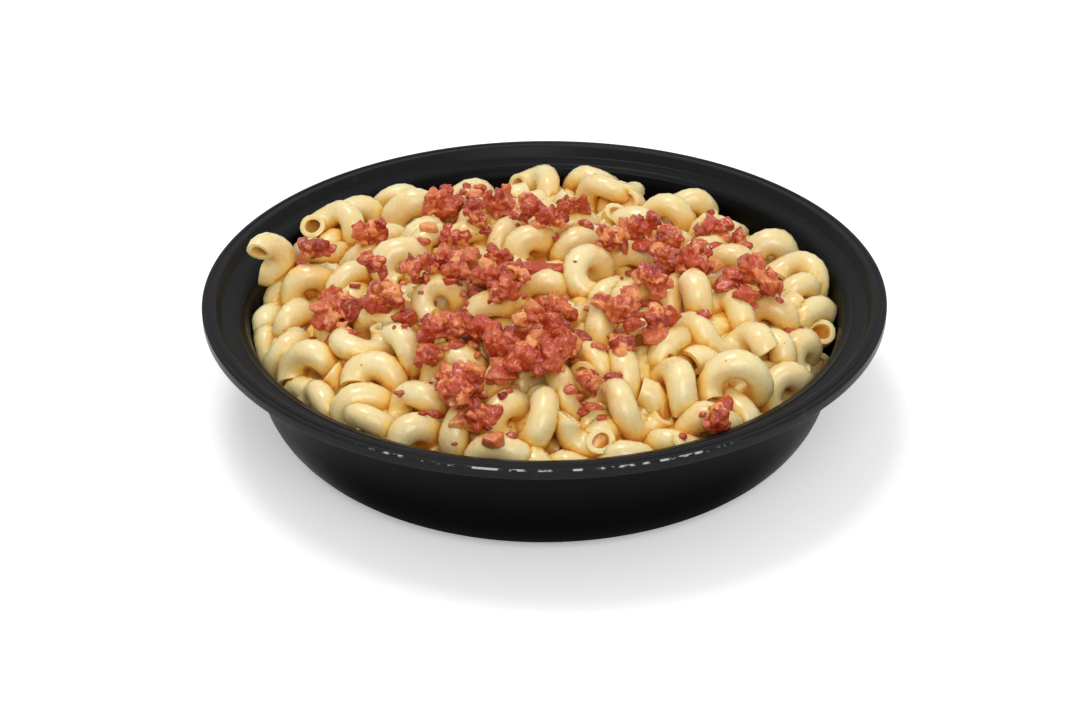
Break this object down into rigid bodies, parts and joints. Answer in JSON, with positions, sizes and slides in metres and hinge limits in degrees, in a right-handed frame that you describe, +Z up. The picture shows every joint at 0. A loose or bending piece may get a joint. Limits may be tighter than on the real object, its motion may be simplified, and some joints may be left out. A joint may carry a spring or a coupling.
{
  "type": "bowl of macaroni and cheese",
  "caption": "Round black take-out bowl heaped with corkscrew macaroni in cheese sauce and topped with diced bacon.",
  "frame": {"origin": "centre of the bowl's flat base, on the surface it stands on", "axes": "+Z up along the bowl's axis; -Y is the side nearest the viewer, +X to the viewer's right"},
  "size_m": [0.229, 0.229, 0.0692],
  "materials": {
    "bowl_plastic": "black moulded polypropylene, satin to semi-gloss",
    "cheesy_pasta": "cooked pasta glazed with pale cheese sauce, moist and semi-gloss",
    "bacon": "fried diced bacon, uneven, with a greasy sheen"
  },
  "bodies": {
    "root": {"bowl": "bowl_plastic", "pasta_heap": "cheesy_pasta", "bacon_01": "bacon", "bacon_02": "bacon", "bacon_03": "bacon", "bacon_04": "bacon", "bacon_05": "bacon", "bacon_06": "bacon", "bacon_07": "bacon", "bacon_08": "bacon", "bacon_09": "bacon", "bacon_10": "bacon", "bacon_11": "bacon", "bacon_12": "bacon", "bacon_13": "bacon", "bacon_14": "bacon", "bacon_15": "bacon", "bacon_16": "bacon", "bacon_17": "bacon", "bacon_18": "bacon", "bacon_19": "bacon", "bacon_20": "bacon", "bacon_21": "bacon", "bacon_22": "bacon", "bacon_23": "bacon", "bacon_24": "bacon", "bacon_25": "bacon", "bacon_26": "bacon", "bacon_27": "bacon", "bacon_28": "bacon", "bacon_29": "bacon", "bacon_30": "bacon", "bacon_31": "bacon", "bacon_32": "bacon", "bacon_33": "bacon", "bacon_34": "bacon", "bacon_35": "bacon", "bacon_36": "bacon", "bacon_37": "bacon", "bacon_38": "bacon", "bacon_39": "bacon", "bacon_40": "bacon", "bacon_41": "bacon", "bacon_42": "bacon", "bacon_43": "bacon", "bacon_44": "bacon", "bacon_45": "bacon", "bacon_46": "bacon", "bacon_47": "bacon", "bacon_48": "bacon", "bacon_49": "bacon"}
  },
  "joints": []
}
